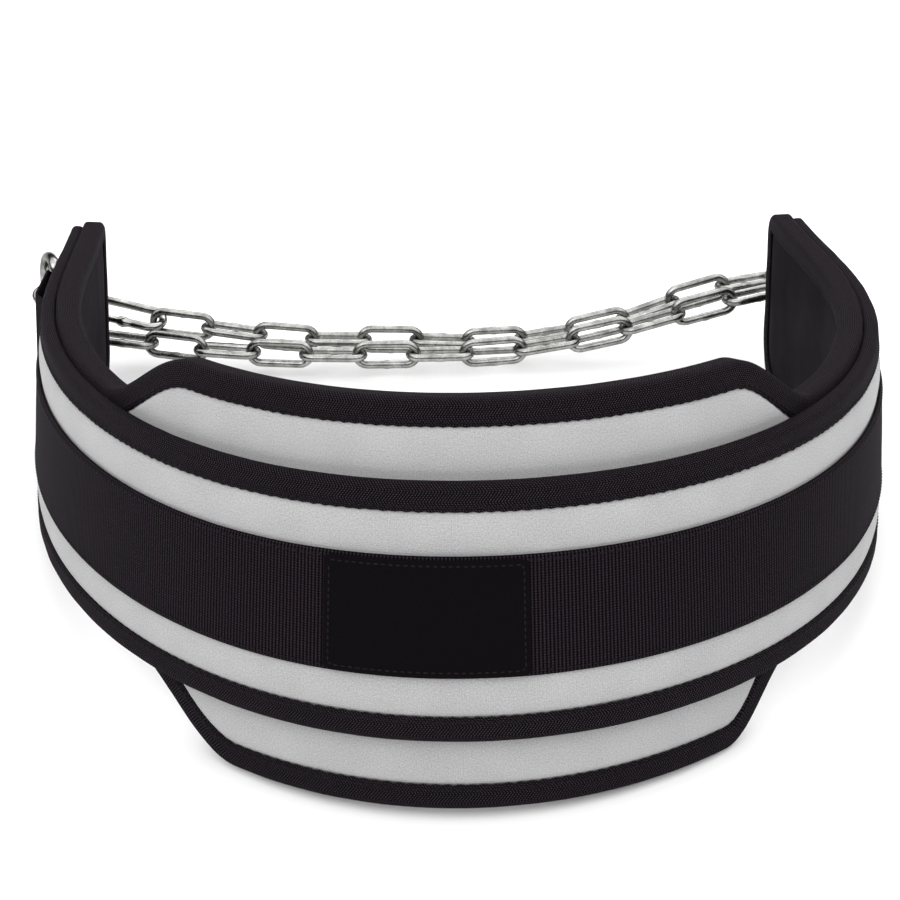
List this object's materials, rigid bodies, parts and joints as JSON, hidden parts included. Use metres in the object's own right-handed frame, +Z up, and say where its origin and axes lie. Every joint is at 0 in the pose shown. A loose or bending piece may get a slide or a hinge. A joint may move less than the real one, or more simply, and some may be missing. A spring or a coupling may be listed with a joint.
{
  "type": "dip belt",
  "caption": "Padded lifting belt bent to the waist, with webbing, bound edges, a ring at each end and a chain and clasp between them.",
  "frame": {"origin": "bottom centre of the object's box, on the surface it rests on", "axes": "+Z up, the label faces -Y, the belt's ends, rings and chain are towards +Y, +X to the right in the picture"},
  "size_m": [0.5422, 0.4548, 0.1709],
  "materials": {
    "padded_cloth": "smooth silver-grey face cloth over foam, smooth black lining on the waist side",
    "binding_tape": "black woven tape folded over the edges and stitched",
    "webbing": "black ribbed webbing",
    "label_cloth": "smooth blank black patch",
    "polished_steel": "polished, nickel plated",
    "zinc_chain": "zinc plated"
  },
  "bodies": {
    "root": {"back_pad": "padded_cloth", "outer_band": "padded_cloth", "pad_binding": "binding_tape", "band_binding": "binding_tape", "center_webbing": "webbing", "ring_tab_left": "webbing", "ring_tab_right": "webbing", "label_patch": "label_cloth", "d_ring_left": "polished_steel", "d_ring_right": "polished_steel", "clasp": "polished_steel", "chain_link_01": "zinc_chain", "chain_link_02": "zinc_chain", "chain_link_03": "zinc_chain", "chain_link_04": "zinc_chain", "chain_link_05": "zinc_chain", "chain_link_06": "zinc_chain", "chain_link_07": "zinc_chain", "chain_link_08": "zinc_chain", "chain_link_09": "zinc_chain", "chain_link_10": "zinc_chain", "chain_link_11": "zinc_chain", "chain_link_12": "zinc_chain", "chain_link_13": "zinc_chain", "chain_link_14": "zinc_chain", "chain_link_15": "zinc_chain", "chain_link_16": "zinc_chain", "chain_link_17": "zinc_chain", "chain_link_18": "zinc_chain", "chain_link_19": "zinc_chain", "chain_link_20": "zinc_chain", "chain_link_21": "zinc_chain", "chain_link_22": "zinc_chain", "chain_link_23": "zinc_chain", "chain_link_24": "zinc_chain", "chain_link_25": "zinc_chain", "chain_link_26": "zinc_chain", "chain_link_27": "zinc_chain", "chain_link_28": "zinc_chain", "chain_link_29": "zinc_chain"}
  },
  "joints": []
}
